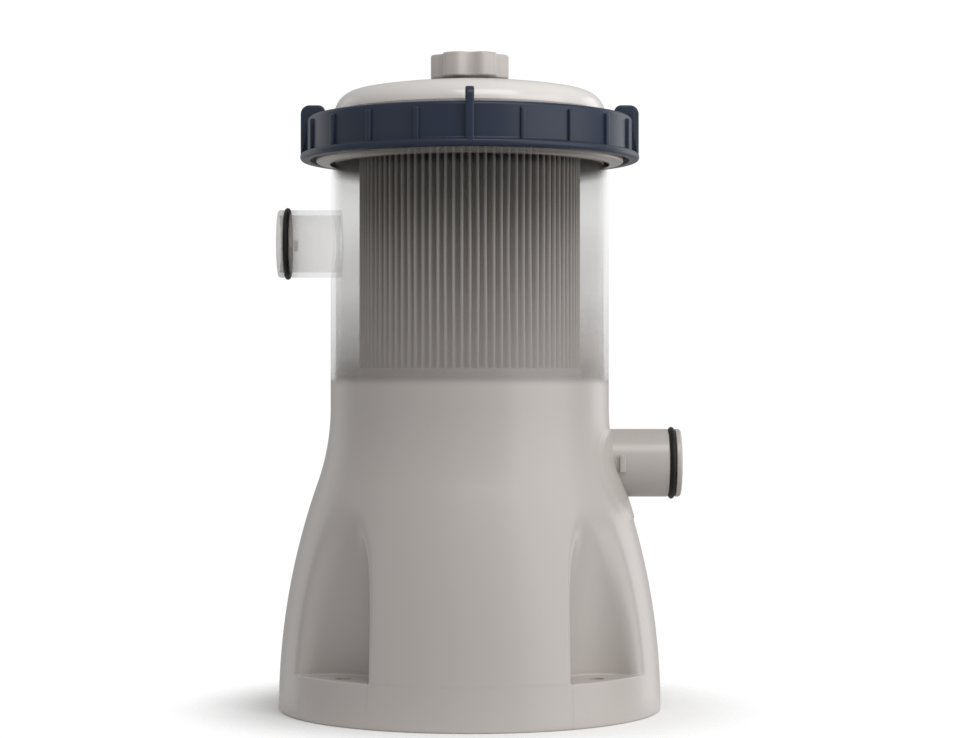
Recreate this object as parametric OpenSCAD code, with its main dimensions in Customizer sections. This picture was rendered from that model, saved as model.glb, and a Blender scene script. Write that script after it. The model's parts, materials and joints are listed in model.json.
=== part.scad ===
// Cartridge filter pump for an above-ground pool.
// Origin: centre of the base underside. +Z up, inlet towards -X, outlet towards +X, front -Y.
// Water enters the canister, passes the pleated cartridge from outside to inside, drops
// through the suction eye into the pump chamber and leaves by the lower port. A magnet rotor
// turns inside a sealed can, and the potted stator around the can stays dry.

/* [Housing] */
// Radius of the skirt where it stands on the ground
base_r = 90; // [88:0.5:92]
// Radius of the canister
canister_r = 65.7; // [65.3:0.1:66]
// Radius of the skirt's long outward curve
skirt_curve_r = 319; // [310:1:330]
// Radius of the inward curve that joins skirt and canister
waist_curve_r = 106; // [100:1:112]
// Wall thickness of housing and lid
wall = 2.5; // [2:0.1:2.8]
// Height of the neck rim that the lid seals on
neck_top_z = 270.5; // [268:0.5:271]
// Upper face of the floor under the cartridge
floor_z = 143.4; // [142.9:0.1:143.9]

/* [Hold-down recesses] */
// Height of the ledge in each recess
ledge_z = 20.2; // [18:0.2:21]
// Radius of the rounded recess
recess_r = 22.5; // [22:0.5:25]
// Distance of the recess centre from the pump axis, at the ledge
recess_centre_r = 90; // [90:0.5:92]
// Outward lean of the recess, in degrees
recess_lean = 6.6; // [6:0.1:8]
// Diameter of the bolt circle
bolt_circle_d = 161; // [158:0.5:161]
// Diameter of the hold-down holes
bolt_hole_d = 7.6; // [6.5:0.1:8]

/* [Hose ports] */
// Outer diameter of both hose spigots
port_d = 32; // [31.5:0.1:32.5]
// Bore of both hose spigots
port_bore_d = 27; // [26:0.1:27.5]
// Height of the inlet
inlet_z = 219; // [215:1:225]
// Height of the outlet
outlet_z = 115.5; // [115:0.5:117]
// Distance of the inlet's free end from the pump axis
inlet_reach = 90.5; // [89:0.5:94]
// Distance of the outlet's free end from the pump axis
outlet_reach = 99.5; // [98:0.5:102]

/* [Collar and lid] */
// Radius of the collar wall
collar_r = 76.6; // [76.4:0.1:77]
// Number of grip positions round the collar, every fifth one a tall tab
grip_count = 20; // [20:20:40]
// Lift of the collar in one whole turn
collar_lead = 24; // [22:1:26]
// Height of the lid's crown
lid_top_z = 295; // [294.5:0.1:296]
// Radius of the lid's crown curve
lid_crown_r = 320; // [300:5:340]
// Radius of the lid's edge curve
lid_edge_r = 11; // [10:0.5:13]

/* [Air-release knob] */
// Radius over the knob's lobes
knob_r = 18.4; // [17.5:0.1:19]
// Number of lobes
knob_lobes = 6; // [5:1:7]
// Lift of the knob in one whole turn
knob_lead = 3; // [2.8:0.1:3.2]

/* [Cartridge] */
// Outer diameter of the cartridge
cartridge_d = 106; // [104:0.5:107]
// Height of the cartridge
cartridge_h = 132; // [128:1:132]
// Number of pleats
pleats = 88; // [60:1:100]

/* [Hidden] */
$fn = 96;

tiny = 0.05;       // gap between fixed neighbours that fit into each other
gap = 0.3;         // gap between neighbours that move apart
canister_in_r = canister_r - wall;
floor_t = 3;
floor_under_z = floor_z - floor_t;

// The skirt's two arcs touch where the line between their centres crosses them.
skirt_c = [base_r - skirt_curve_r, 0];
waist_dx = canister_r + waist_curve_r - skirt_c[0];
waist_z = sqrt(pow(skirt_curve_r + waist_curve_r, 2) - pow(waist_dx, 2));
waist_c = [canister_r + waist_curve_r, waist_z];
meet_a = atan2(waist_z, waist_dx);

// The waist arc's angle, outside and inside, where skirt and canister meet.
split_a = 180 + asin((waist_z - floor_under_z) / waist_curve_r);
inner_end_a = 180 + asin((waist_z - floor_under_z) / (waist_curve_r + wall));

neck_r = 69;
flange_r = 72.4;
flange_z = 257;
flange_t = 2.3;

collar_base_z = 257.8;
collar_top_z = 278.2;
collar_in_r = 73.6;
collar_flange_r = 80;
collar_flange_t = 3.4;
collar_lip_t = 2.5;
lip_in_r = 64.5;
grip_step = 360 / grip_count;
tabs_every = grip_count / 4;

lug_span = 40;
lug_h = 2.4;
neck_lug_z = 266.6;
lug_drop = collar_lead / 8;

lid_r = 64;
lid_flange_r = 70.5;
lid_flange_t = 3.2;
lid_flange_z = neck_top_z + 2;
lid_crown_c = [0, lid_top_z - lid_crown_r];
lid_edge_c = [
  lid_r - lid_edge_r,
  lid_crown_c[1] + sqrt(pow(lid_crown_r - lid_edge_r, 2) - pow(lid_r - lid_edge_r, 2))
];
lid_meet_a = atan2(lid_edge_c[1] - lid_crown_c[1], lid_edge_c[0]);

stub_r = 8;
stub_top_z = 303;
stub_lug_z = 301.4;
washer_t = 1.5;
knob_z = 297;
knob_top_z = 308.3;
knob_cavity_r = 10.2;
knob_lug_span = 110;
knob_lug_h = 0.9;

port_r = port_d / 2;
bore_r = port_bore_d / 2;
o_ring_r = 1.35;
o_ring_mid_r = port_r + 0.95 - o_ring_r;
inlet_ring_x = inlet_reach - 4.5;
outlet_ring_x = outlet_reach - 4.3;
socket_x = 33;
socket_end_x = 46;
passage_r = bore_r + 0.5;
passage_end_x = 52;

cartridge_r = cartridge_d / 2;
cartridge_z = 154;
cap_t = 5;
core_r = 27.5;
core_t = 2;
pleat_in_r = 31.5;
pleat_out_r = cartridge_r - 0.8;
media_t = 0.9;

cover_flange_t = 2.4;
cover_r = 34;
plateau_r = 18.7;
plateau_z = 148.8;
eye_r = 10;
chamber_r = 28;
chamber_t = 3;
chamber_floor_z = 102;
cover_screw_r = 31;
cover_screws_n = 6;

can_r = 16;
can_in_r = 14.5;
can_z = 53;
motor_flange_z = 96;
pot_r = 46;
pot_t = 2;
pot_z = 6.5;
ear_r = 49.5;

shaft_r = 2;
shaft_z = 57;
shaft_top_z = 130;
impeller_r = 25.5;
blade_count = 6;
magnet_r = 13.2;
magnet_z = 62;
hub_r = 5;

core_w = 64;
core_leg_w = 14;
core_y = 24;
core_z = 12;
core_top_z = 95;
coil_z = 25;
coil_h = 27;

plate_t = 2.5;
base_screw_at = 82.5;
base_screw_a = 20;
pad_r = 8;
pad_t = 1.5;
pad_at = 62;
bolt_r = bolt_circle_d / 2;
boss_r = 5.6;

gland_z = 30;
gland_face_y = 90;
gland_in_y = 84;
cable_r = 3.5;

housing_grey = [0.79, 0.77, 0.75];
collar_navy = [0.15, 0.18, 0.24];
rubber_black = [0.05, 0.05, 0.05];
inner_grey = [0.62, 0.61, 0.6];
steel = [0.7, 0.71, 0.73];

// Points along an arc about c, from angle a0 to angle a1, in n steps.
function arc(c, r, a0, a1, n) =
  [for (i = [0:n]) let (a = a0 + (a1 - a0) * i / n) [c[0] + r * cos(a), c[1] + r * sin(a)]];

// Outline of the skirt from the ground to the canister, moved inwards by t.
function skirt_line(t, end_a) = concat(
  arc(skirt_c, skirt_curve_r - t, 0, meet_a, 8),
  arc(waist_c, waist_curve_r + t, 180 + meet_a, end_a, 6)
);

function flip(points) = [for (i = [len(points) - 1:-1:0]) points[i]];

module ring(r_out, r_in, z0, z1) {
  translate([0, 0, z0]) difference() {
    cylinder(r = r_out, h = z1 - z0);
    translate([0, 0, -1]) cylinder(r = r_in, h = z1 - z0 + 2);
  }
}

// Bar of radius r along +X, from x0 to x1 at height z.
module bar_x(r, x0, x1, z) {
  translate([x0, 0, z]) rotate([0, 90, 0]) cylinder(r = r, h = x1 - x0);
}

// Bar of radius r along +Y, from y0 to y1 at the gland's height.
module bar_y(r, y0, y1) {
  translate([0, y0, gland_z]) rotate([-90, 0, 0]) cylinder(r = r, h = y1 - y0);
}

module hex_y(r, y0, y1) {
  translate([0, y0, gland_z]) rotate([-90, 0, 0]) cylinder(r = r, h = y1 - y0, $fn = 6);
}

// One thread segment: an arc of rectangular section, tilted to follow the thread.
module thread_lug(r_in, r_out, h, span, lead) {
  tilt = atan2(lead, PI * (r_in + r_out));
  rotate([tilt, 0, 0]) rotate([0, 0, -span / 2]) rotate_extrude(angle = span)
    translate([r_in, -h / 2]) square([r_out - r_in, h]);
}

module screw(head_r, head_h, shank_r, length) {
  cylinder(r = head_r, h = head_h);
  translate([0, 0, -length]) cylinder(r = shank_r, h = length + tiny);
}

module rounded_block(x, y, h, r) {
  translate([-x / 2 + r, -y / 2, 0]) cube([x - 2 * r, y, h]);
  translate([-x / 2, -y / 2 + r, 0]) cube([x, y - 2 * r, h]);
  for (sx = [-1, 1], sy = [-1, 1])
    translate([sx * (x / 2 - r), sy * (y / 2 - r), 0]) cylinder(r = r, h = h, $fn = 32);
}

module at_recesses() {
  for (k = [0:3]) rotate([0, 0, 45 + 90 * k]) children();
}

// Leaning cylinder of a recess, kept above the height z.
module recess_column(r, z) {
  intersection() {
    translate([recess_centre_r, 0, ledge_z]) rotate([0, recess_lean, 0])
      translate([0, 0, -30]) cylinder(r = r, h = 150);
    translate([0, -60, z]) cube([160, 120, 150]);
  }
}

module skirt_solid(t) {
  rotate_extrude() polygon(concat([[0, 0]], skirt_line(t, 180), [[0, waist_z]]));
}

// Low raised pad on the housing, round the outlet.
module outlet_pad() {
  pad_h = 21;
  pad_half_w = 35;
  intersection() {
    skirt_solid(-0.8);
    translate([50, 0, outlet_z - 5]) rotate([0, 90, 0]) {
      for (s = [-1, 1]) translate([0, s * (pad_half_w - pad_h), 0]) cylinder(r = pad_h, h = 40);
      translate([-pad_h, -(pad_half_w - pad_h), 0]) cube([2 * pad_h, 2 * (pad_half_w - pad_h), 40]);
    }
  }
}

// Upper part of the housing: the canister with its floor, neck flange and neck thread.
module canister() color(housing_grey) difference() {
  union() {
    rotate_extrude() polygon(concat(
      arc(waist_c, waist_curve_r, split_a, 180, 1),
      [
        [canister_r, flange_z - 3], [canister_r + 1.2, flange_z - 1], [flange_r - 1, flange_z],
        [flange_r, flange_z + 0.8], [flange_r, flange_z + flange_t],
        [neck_r, flange_z + flange_t], [neck_r, neck_top_z], [canister_in_r, neck_top_z],
        [canister_in_r, floor_z], [chamber_r, floor_z], [chamber_r, floor_under_z]
      ]
    ));
    for (k = [0:3]) rotate([0, 0, 90 * k]) translate([0, 0, neck_lug_z])
      thread_lug(neck_r - 1, neck_r + 3.6, lug_h, lug_span, collar_lead);
  }
  for (k = [0:cover_screws_n - 1]) rotate([0, 0, 30 + 60 * k])
    translate([cover_screw_r, 0, floor_under_z - 1]) cylinder(r = 1.6, h = floor_t + 2);
  bar_x(port_r + tiny, -80, -50, inlet_z);
}

// Lower part of the housing, with a window for each hold-down recess.
module skirt() color(housing_grey) difference() {
  union() {
    difference() {
      union() {
        rotate_extrude() polygon(concat(skirt_line(0, split_a), flip(skirt_line(wall, inner_end_a))));
        outlet_pad();
      }
      skirt_cavity();
    }
    for (k = [0:3]) rotate([0, 0, base_screw_a + 90 * k])
      translate([base_screw_at, 0, plate_t]) cylinder(r = 5.5, h = 18);
    bar_y(11, gland_in_y, gland_face_y);
  }
  at_recesses() recess_column(recess_r + wall, ledge_z - wall);
  for (k = [0:3]) rotate([0, 0, base_screw_a + 90 * k])
    translate([base_screw_at, 0, 0]) cylinder(r = 1.6, h = 17);
  bar_x(port_r + tiny, 50, 90, outlet_z);
  bar_y(6 + tiny, 70, 100);
}

// Walls, ledges and bolt bosses of the four recesses. They fill the windows of the skirt.
module bolt_pockets() color(housing_grey) difference() {
  union() {
    intersection() {
      skirt_solid(0);
      at_recesses() recess_column(recess_r + wall - tiny, ledge_z - wall + tiny);
    }
    at_recesses() translate([bolt_r, 0, 0]) cylinder(r = boss_r, h = ledge_z);
  }
  at_recesses() recess_column(recess_r, ledge_z);
  at_recesses() translate([bolt_r, 0, -1]) cylinder(d = bolt_hole_d, h = ledge_z + 2);
}

// Space inside the skirt under the floor, used to keep the pad out of it.
module skirt_cavity() {
  rotate_extrude() polygon(concat([[0, -1]], [[base_r - wall, -1]],
    skirt_line(wall, inner_end_a), [[0, floor_under_z]]));
}

// Hose spigot along +X with an O-ring groove, a rounded tip and two bayonet lugs.
module spigot(x0, x1, ring_x, lug_x, lug_w, lug_len) {
  tip = 1.2;
  difference() {
    union() {
      rotate([0, 90, 0]) rotate_extrude() polygon(concat(
        [[bore_r, x0], [port_r, x0], [port_r, ring_x - 1.6], [o_ring_mid_r - o_ring_r, ring_x - 1.6],
         [o_ring_mid_r - o_ring_r, ring_x + 1.6], [port_r, ring_x + 1.6]],
        arc([port_r - tip, x1 - tip], tip, 0, 90, 4),
        [[bore_r + 0.8, x1], [bore_r, x1 - 0.8]]));
      for (s = [-1, 1]) translate([lug_x, s * (port_r + 0.5) - 1.2, -lug_len / 2])
        cube([lug_w, 2.4, lug_len]);
    }
    rotate([0, 90, 0]) translate([0, 0, x0 - 1]) cylinder(r = bore_r, h = x1 - x0 + 2);
  }
}

module inlet_spigot() color(housing_grey) translate([0, 0, inlet_z]) rotate([0, 0, 180])
  spigot(60.5, inlet_reach, inlet_ring_x, 82.4, 1.8, 5.2);

// The outlet's inner end is bored out to match the passage from the pump chamber.
module outlet_spigot() color(housing_grey) difference() {
  translate([0, 0, outlet_z]) spigot(socket_x, outlet_reach, outlet_ring_x, 70, 2.7, 8);
  bar_x(passage_r, 0, passage_end_x, outlet_z);
}

module o_ring_x(x, z) {
  translate([x, 0, z]) rotate([0, 90, 0]) rotate_extrude() translate([o_ring_mid_r, 0])
    circle(r = o_ring_r, $fn = 32);
}

module inlet_o_ring() color(rubber_black) o_ring_x(-inlet_ring_x, inlet_z);
module outlet_o_ring() color(rubber_black) o_ring_x(outlet_ring_x, outlet_z);

// Pump chamber, rotor can and motor flange in one moulding, with the socket for the outlet.
module pump_chamber() color(inner_grey) difference() {
  union() {
    rotate_extrude() polygon([
      [0, can_z], [can_r, can_z], [can_r, motor_flange_z], [pot_r, motor_flange_z],
      [pot_r, motor_flange_z + 3], [chamber_r + chamber_t, motor_flange_z + 3],
      [chamber_r + chamber_t, floor_under_z - 3], [36, floor_under_z - 3], [36, floor_under_z],
      [chamber_r, floor_under_z], [chamber_r, chamber_floor_z], [can_in_r, chamber_floor_z],
      [can_in_r, can_z + 2.5], [8, can_z + 2.5], [8, can_z + 7], [6 + tiny, can_z + 7],
      [6 + tiny, can_z + 2.5], [0, can_z + 2.5]
    ]);
    difference() {
      bar_x(port_r + 3, 20, socket_end_x, outlet_z);
      translate([0, 0, 80]) cylinder(r = chamber_r + 1, h = 80);
    }
    for (k = [0:3]) rotate([0, 0, 45 + 90 * k]) translate([ear_r, 0, motor_flange_z])
      cylinder(r = 5, h = 3);
  }
  bar_x(port_r + tiny, socket_x, 60, outlet_z);
  bar_x(passage_r, 20, 60, outlet_z);
  for (k = [0:3]) rotate([0, 0, 45 + 90 * k]) translate([ear_r, 0, motor_flange_z - 1])
    cylinder(r = 1.7, h = 5);
  for (k = [0:cover_screws_n - 1]) rotate([0, 0, 30 + 60 * k])
    translate([cover_screw_r, 0, floor_under_z - 9]) cylinder(r = 1.6, h = 10);
}

module pump_cover() color(inner_grey) {
  top_z = floor_z + cover_flange_t;
  difference() {
    rotate_extrude() polygon([
      [eye_r, 124.6], [eye_r + 2, 124.6], [eye_r + 2, floor_z], [23.5, floor_z], [23.5, 137],
      [chamber_r - tiny, 137], [chamber_r - tiny, 138.1], [26, 138.1], [26, 140.3],
      [chamber_r - tiny, 140.3], [chamber_r - tiny, floor_z], [cover_r, floor_z],
      [cover_r, top_z - 0.8], [cover_r - 0.8, top_z], [plateau_r + 1.6, top_z],
      [plateau_r, top_z + 1.6], [plateau_r, plateau_z - 1], [plateau_r - 1, plateau_z],
      [eye_r + 1.2, plateau_z], [eye_r, plateau_z - 1.2]
    ]);
    for (k = [0:cover_screws_n - 1]) rotate([0, 0, 30 + 60 * k])
      translate([cover_screw_r, 0, floor_z - 1]) cylinder(r = 1.6, h = 5);
  }
  ring(5.5, 3.5, 126, 130.5);
  for (k = [0:2]) rotate([0, 0, 120 * k]) translate([4.5, -1, 126]) cube([6.5, 2, 4.5]);
}

module cover_seal() color(rubber_black)
  rotate_extrude() translate([27, 139.2]) circle(r = 0.95, $fn = 32);

module cover_screws() color(steel)
  for (k = [0:cover_screws_n - 1]) rotate([0, 0, 30 + 60 * k])
    translate([cover_screw_r, 0, floor_z + cover_flange_t]) screw(2.7, 1.8, 1.5, 13);

// Ring that stands on the pump cover and plugs the cartridge's lower end.
module cartridge_seat() color(inner_grey) rotate_extrude() polygon([
  [25.9, floor_z + cover_flange_t], [28.2, floor_z + cover_flange_t], [28.2, 150],
  [30.5, 150], [30.5, cartridge_z - gap], [core_r - gap, cartridge_z - gap],
  [core_r - gap, 160], [core_r - gap - 0.8, 161], [24.6, 161], [24.6, 151.5], [25.9, 150]
]);

module filter_media() color([0.36, 0.34, 0.31]) {
  z0 = cartridge_z + cap_t - 0.5;
  z1 = cartridge_z + cartridge_h - cap_t + 0.5;
  step = 360 / pleats;
  outer = [for (i = [0:2 * pleats - 1]) let (r = i % 2 == 0 ? pleat_out_r : pleat_in_r + media_t)
    [r * cos(i * step / 2), r * sin(i * step / 2)]];
  inner = [for (i = [0:2 * pleats - 1]) let (r = i % 2 == 0 ? pleat_out_r - 8 : pleat_in_r)
    [r * cos(i * step / 2), r * sin(i * step / 2)]];
  translate([0, 0, z0]) linear_extrude(height = z1 - z0) difference() {
    polygon(outer);
    polygon(inner);
  }
}

// End cap: a channel ring that the pleats are potted into.
module end_cap() {
  rotate_extrude() polygon([
    [core_r, 0], [cartridge_r - 1, 0], [cartridge_r, 1], [cartridge_r, cap_t + 1],
    [cartridge_r - 0.7, cap_t + 1], [cartridge_r - 0.7, cap_t - 0.5],
    [core_r + core_t + 0.7, cap_t - 0.5], [core_r + core_t + 0.7, cap_t - 1.5], [core_r, cap_t - 1.5]
  ]);
}

module cartridge_bottom_cap() color([0.86, 0.87, 0.88]) translate([0, 0, cartridge_z]) end_cap();

module cartridge_top_cap() color([0.86, 0.87, 0.88])
  translate([0, 0, cartridge_z + cartridge_h]) mirror([0, 0, 1]) end_cap();

// Tube with rows of windows that keeps the pleats from folding inwards.
module cartridge_core() color([0.84, 0.85, 0.86]) {
  z0 = cartridge_z + cap_t - 1.5;
  z1 = cartridge_z + cartridge_h - cap_t + 1.5;
  rows = 4;
  columns = 8;
  pitch = (z1 - z0) / rows;
  difference() {
    ring(core_r + core_t, core_r, z0, z1);
    for (row = [0:rows - 1], k = [0:columns - 1]) rotate([0, 0, 360 / columns * k])
      translate([core_r - 4, -5, z0 + pitch * row + 3]) cube([10, 10, pitch - 6]);
  }
}

module lid() color([0.86, 0.85, 0.84]) {
  difference() {
    union() {
      rotate_extrude() polygon(concat(
        arc(lid_crown_c, lid_crown_r, 90, lid_meet_a, 7),
        arc(lid_edge_c, lid_edge_r, lid_meet_a, 0, 7),
        [
          [lid_r, lid_flange_z + lid_flange_t], [lid_flange_r, lid_flange_z + lid_flange_t],
          [lid_flange_r, lid_flange_z], [canister_in_r - 0.5, lid_flange_z],
          [canister_in_r - 0.5, lid_flange_z - 10], [canister_in_r - 2.5, lid_flange_z - 10],
          [canister_in_r - 2.5, lid_flange_z + lid_flange_t]
        ],
        arc(lid_edge_c, lid_edge_r - wall, 0, lid_meet_a, 7),
        arc(lid_crown_c, lid_crown_r - wall, lid_meet_a, 90, 7)
      ));
      translate([0, 0, lid_top_z - wall]) cylinder(r = stub_r, h = stub_top_z - lid_top_z + wall);
      translate([0, 0, stub_lug_z]) thread_lug(stub_r - 0.6, 9, knob_lug_h, knob_lug_span, knob_lead);
    }
    translate([0, 0, lid_top_z - 10]) cylinder(r = 2.5, h = 20);
  }
}

module lid_seal() color(rubber_black)
  ring(neck_r - 0.6, canister_in_r + 0.8, neck_top_z, lid_flange_z - gap);

module tall_tab() {
  w = 4;
  outer_round = 4.2;
  inner_round = 6.4;
  in_r = 68.3;
  top_z = 284.5;
  translate([0, w / 2, 0]) rotate([90, 0, 0]) linear_extrude(height = w) {
    translate([collar_in_r + 1, collar_base_z + 1])
      square([collar_flange_r - collar_in_r - 1, top_z - outer_round - collar_base_z - 1]);
    translate([in_r + inner_round, collar_top_z - 1])
      square([collar_flange_r - outer_round - in_r - inner_round, top_z - collar_top_z + 1]);
    intersection() {
      translate([in_r + inner_round, top_z - inner_round]) circle(r = inner_round);
      translate([in_r, collar_top_z - 1]) square([inner_round, top_z - collar_top_z + 1]);
    }
    translate([collar_flange_r - outer_round, top_z - outer_round]) circle(r = outer_round);
  }
}

module grip_rib() {
  w = 2.75;
  out_r = 78;
  round_r = 1.5;
  top_z = 275.8;
  translate([0, w / 2, 0]) rotate([90, 0, 0]) linear_extrude(height = w) {
    translate([collar_in_r + 1, collar_base_z + 1])
      square([out_r - collar_in_r - 1, top_z - round_r - collar_base_z - 1]);
    translate([out_r - round_r, top_z - round_r]) circle(r = round_r);
    translate([collar_in_r + 1, top_z - round_r]) square([out_r - round_r - collar_in_r - 1, round_r]);
  }
}

module locking_collar() color(collar_navy) {
  lip_z = collar_top_z - collar_lip_t;
  flange_top_z = collar_base_z + collar_flange_t;
  rotate_extrude() polygon(concat(
    [[75.2, collar_base_z]],
    arc([collar_flange_r - 1.5, collar_base_z + 1.5], 1.5, -90, 0, 4),
    arc([collar_flange_r - 1.2, flange_top_z - 1.2], 1.2, 0, 90, 4),
    [[collar_r + 0.6, flange_top_z], [collar_r, flange_top_z + 0.6]],
    arc([collar_r - 1.6, collar_top_z - 1.6], 1.6, 0, 90, 4),
    [[lip_in_r + 0.8, collar_top_z], [lip_in_r, collar_top_z - 0.8], [lip_in_r, lip_z],
     [collar_in_r, lip_z], [collar_in_r, flange_top_z - 0.4], [75.2, flange_top_z - 2]]
  ));
  for (k = [0:grip_count - 1]) rotate([0, 0, grip_step * k])
    if (k % tabs_every == 0) tall_tab();
    else grip_rib();
  for (k = [0:3]) rotate([0, 0, 90 * k]) translate([0, 0, neck_lug_z - lug_drop])
    thread_lug(71.2, collar_in_r + 1, lug_h, lug_span, collar_lead);
}

module vent_washer() color(rubber_black)
  ring(stub_r - 0.6, shaft_r + tiny, stub_top_z + gap, stub_top_z + gap + washer_t);

module vent_knob() color(housing_grey) {
  valley_r = 4.6;
  roof_z = stub_top_z + washer_t + 2 * gap;
  difference() {
    translate([0, 0, knob_z]) difference() {
      rotate_extrude() polygon(concat(
        [[0, 0], [knob_r - 0.6, 0], [knob_r, 0.6]],
        arc([knob_r - 1, knob_top_z - knob_z - 1], 1, 0, 90, 4),
        [[0, knob_top_z - knob_z]]));
      for (k = [0:knob_lobes - 1]) rotate([0, 0, (k + 0.5) * 360 / knob_lobes])
        translate([knob_r + 1.6, 0, -1]) cylinder(r = valley_r, h = 20);
    }
    translate([0, 0, knob_z - 1]) cylinder(r = knob_cavity_r, h = roof_z - knob_z + 1);
  }
  translate([0, 0, stub_top_z + gap]) cylinder(r = shaft_r, h = roof_z - stub_top_z);
  translate([0, 0, stub_lug_z - knob_lead / 2])
    thread_lug(8.4, knob_cavity_r + 0.6, knob_lug_h, knob_lug_span, knob_lead);
}

module impeller() color([0.22, 0.23, 0.25]) difference() {
  union() {
    translate([0, 0, magnet_z - 0.5]) cylinder(r = hub_r, h = 124 - magnet_z + 0.5);
    translate([0, 0, 98.5]) cylinder(r = 9, h = 8);
    translate([0, 0, 105]) cylinder(r = impeller_r, h = 2.4);
    for (k = [0:blade_count - 1]) rotate([0, 0, 360 / blade_count * k])
      translate([hub_r - 1, -0.9, 107]) cube([impeller_r - hub_r + 0.4, 1.8, 15]);
  }
  translate([0, 0, magnet_z - 2]) cylinder(r = shaft_r + tiny, h = 70);
}

module rotor_magnet() color([0.12, 0.12, 0.13]) ring(magnet_r, hub_r + tiny, magnet_z, 98.4);

module rotor_shaft() color([0.93, 0.92, 0.88])
  translate([0, 0, shaft_z]) cylinder(r = shaft_r, h = shaft_top_z - shaft_z);

module lower_bearing() color(rubber_black) difference() {
  translate([0, 0, can_z + 2.5]) cylinder(r = 6, h = 5);
  translate([0, 0, shaft_z]) cylinder(r = shaft_r + 0.01, h = 10);
}

module upper_bearing() color(rubber_black)
  ring(3.5 - tiny, shaft_r + 0.01, 126, 130.5);

// U-shaped stack of laminations, cut out round the rotor can.
module stator_core() color([0.45, 0.46, 0.48]) difference() {
  translate([-core_w / 2, -core_y / 2, core_z]) cube([core_w, core_y, core_top_z - core_z]);
  translate([-core_w / 2 + core_leg_w, -core_y, coil_z - 1])
    cube([core_w - 2 * core_leg_w, 2 * core_y, coil_h + 6]);
  translate([0, 0, coil_z]) cylinder(r = can_r + 0.6, h = 100);
}

module at_coils() {
  for (s = [-1, 1]) translate([s * (core_w - core_leg_w) / 2, 0, 0]) children();
}

module coil_bobbins() color([0.9, 0.89, 0.84]) at_coils() difference() {
  union() {
    translate([0, 0, coil_z]) rounded_block(core_leg_w + 2.6, core_y + 2.6, coil_h, 1);
    for (z = [coil_z, coil_z + coil_h - 1.5])
      translate([0, 0, z]) rounded_block(28, 37, 1.5, 3);
  }
  translate([-core_leg_w / 2 - tiny, -core_y / 2 - tiny, coil_z - 1])
    cube([core_leg_w + 2 * tiny, core_y + 2 * tiny, coil_h + 2]);
}

module windings() color([0.62, 0.32, 0.16]) at_coils() difference() {
  translate([0, 0, coil_z + 1.6]) rounded_block(26.4, 35.4, coil_h - 3.2, 3);
  translate([-core_leg_w / 2 - 1.4, -core_y / 2 - 1.4, coil_z])
    cube([core_leg_w + 2.8, core_y + 2.8, coil_h]);
}

module potting() color([0.1, 0.1, 0.11]) difference() {
  translate([0, 0, pot_z + 2.5 + tiny]) cylinder(r = pot_r - pot_t - tiny, h = 43.5);
  translate([-core_w / 2 - tiny, -core_y / 2 - tiny, core_z - tiny])
    cube([core_w + 2 * tiny, core_y + 2 * tiny, 60]);
  at_coils() translate([0, 0, coil_z - tiny]) rounded_block(28.1, 37.1, 40, 3);
}

module motor_pot() color([0.2, 0.2, 0.21]) difference() {
  union() {
    translate([0, 0, pot_z]) cylinder(r = pot_r, h = motor_flange_z - pot_z);
    for (k = [0:3]) rotate([0, 0, 45 + 90 * k]) translate([ear_r, 0, motor_flange_z - 10])
      cylinder(r = 5, h = 10);
  }
  translate([0, 0, pot_z + 2.5]) cylinder(r = pot_r - pot_t, h = 100);
  for (k = [0:3]) rotate([0, 0, 45 + 90 * k]) translate([ear_r, 0, motor_flange_z - 9])
    cylinder(r = 1.55, h = 20);
}

module motor_screws() color(steel)
  for (k = [0:3]) rotate([0, 0, 45 + 90 * k]) translate([ear_r, 0, motor_flange_z + 3])
    screw(3, 2, 1.5, 11);

module base_plate() color([0.55, 0.54, 0.53]) difference() {
  cylinder(r = base_r - wall - 0.3, h = plate_t);
  at_recesses() translate([bolt_r, 0, -1]) cylinder(r = boss_r + gap, h = 5);
  for (k = [0:3]) rotate([0, 0, base_screw_a + 90 * k]) translate([base_screw_at, 0, -1]) {
    cylinder(r = 1.7, h = 5);
    cylinder(r = 3.5, h = 2.5);
  }
  for (k = [0:3]) rotate([0, 0, 90 * k]) translate([pad_at, 0, -1]) cylinder(r = pad_r + tiny, h = 1 + pad_t);
}

module base_screws() color(steel)
  for (k = [0:3]) rotate([0, 0, base_screw_a + 90 * k]) translate([base_screw_at, 0, 1.5])
    mirror([0, 0, 1]) screw(3.2, 1.3, 1.5, 12);

module rubber_feet() color(rubber_black)
  for (k = [0:3]) rotate([0, 0, 90 * k]) translate([pad_at, 0, 0]) cylinder(r = pad_r, h = pad_t);

module cable_gland() color([0.13, 0.13, 0.14]) difference() {
  union() {
    bar_y(6, 80, 94);
    hex_y(9.5, gland_face_y, 93);
  }
  bar_y(cable_r, 79, 96);
  bar_y(4.9, 86, 96);
}

module gland_seal() color(rubber_black) difference() {
  bar_y(4.8, 86.1, 94);
  bar_y(cable_r, 80, 100);
}

module gland_nut() color([0.13, 0.13, 0.14]) difference() {
  translate([0, 94.1, gland_z]) rotate([-90, 0, 0]) rotate_extrude() polygon([
    [cable_r, 0], [7.2, 0], [7.2, 1.6], [6.2, 3], [4.8, 3.6], [cable_r, 3.6]
  ]);
  bar_y(cable_r, 90, 100);
}

module gland_locknut() color([0.13, 0.13, 0.14]) difference() {
  hex_y(9.5, gland_in_y - 3.5, gland_in_y);
  bar_y(6 + tiny, 70, 90);
}

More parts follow.
